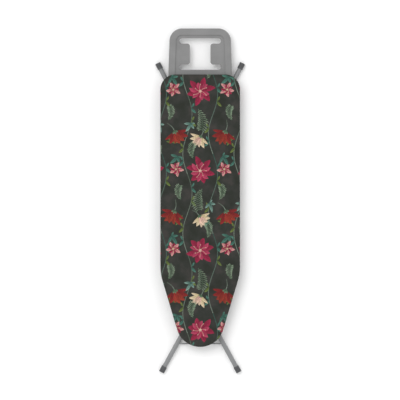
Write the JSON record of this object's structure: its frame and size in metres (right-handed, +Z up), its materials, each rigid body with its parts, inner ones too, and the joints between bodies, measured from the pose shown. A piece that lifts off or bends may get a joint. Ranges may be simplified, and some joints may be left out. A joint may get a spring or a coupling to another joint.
{
  "type": "ironing board",
  "caption": "Folding ironing board with a padded, printed cotton cover, splayed scissor legs of steel tube, a lever height lock and a pressed steel iron rest, folded flat.",
  "frame": {"origin": "centre of the folded board's footprint, on the surface its four feet lie on", "axes": "+X across the board, +Y along it towards the iron rest, +Z up out of the ironing surface"},
  "size_m": [0.3738, 1.4347, 0.07],
  "materials": {
    "printed_cotton": "plain-woven cotton, dark ground with a printed botanical pattern",
    "foam": "soft foam pad",
    "board_steel": "grey powder coat",
    "rest_steel": "grey powder coat, satin",
    "leg_steel": "grey powder coat, satin",
    "foot_plastic": "moulded, matt",
    "black_plastic": "moulded, matt",
    "nylon": "moulded nylon",
    "zinc_steel": "bright zinc plate"
  },
  "bodies": {
    "board": {"cover_top": "printed_cotton", "cover_skirt": "printed_cotton", "foam_pad": "foam", "mesh_sheet": "board_steel", "board_rim": "board_steel", "rear_crossbar": "board_steel", "guide_rail_left": "board_steel", "guide_rail_right": "board_steel", "iron_rest": "rest_steel", "rest_bolts": "zinc_steel", "rest_nuts": "zinc_steel", "pivot_rod": "zinc_steel", "pivot_rod_caps": "black_plastic", "pivot_spacers": "black_plastic", "shaft_brackets": "board_steel", "lever_spring": "zinc_steel"},
    "inner_legs": {"inner_leg_left": "leg_steel", "inner_leg_right": "leg_steel", "inner_leg_brace": "leg_steel", "inner_foot_left": "foot_plastic", "inner_foot_right": "foot_plastic", "crossing_rivets": "zinc_steel", "crossing_washers": "black_plastic"},
    "outer_legs": {"outer_leg_left": "leg_steel", "outer_leg_right": "leg_steel", "outer_leg_brace": "leg_steel", "outer_foot_left": "foot_plastic", "outer_foot_right": "foot_plastic", "slide_rod": "zinc_steel", "slide_rod_caps": "black_plastic", "slide_rollers": "nylon", "slide_sleeves": "black_plastic"},
    "height_lock": {"lock_shaft": "zinc_steel", "height_rack": "zinc_steel", "release_lever": "zinc_steel", "lever_grip": "foot_plastic"}
  },
  "joints": [
    {"name": "leg_fold", "type": "hinge", "parent": "board", "child": "inner_legs", "pos_m": [0, 0.34066, 0.03936], "axis": [1, 0, 0], "range_deg": [0, 51.5]},
    {"name": "leg_cross", "type": "hinge", "parent": "inner_legs", "child": "outer_legs", "pos_m": [0, -0.0687, 0.02864], "axis": [1, 0, 0], "range_deg": [-103, 0]},
    {"name": "height_release", "type": "hinge", "parent": "board", "child": "height_lock", "pos_m": [-0.095, 0, 0.05286], "axis": [0, 1, 0], "range_deg": [-4.9, 0], "stiffness_Nm_per_rad": 2, "springref_deg": -4.9}
  ],
  "couplings": [
    {"joint": "leg_cross", "follows": "leg_fold", "ratio": -2}
  ]
}
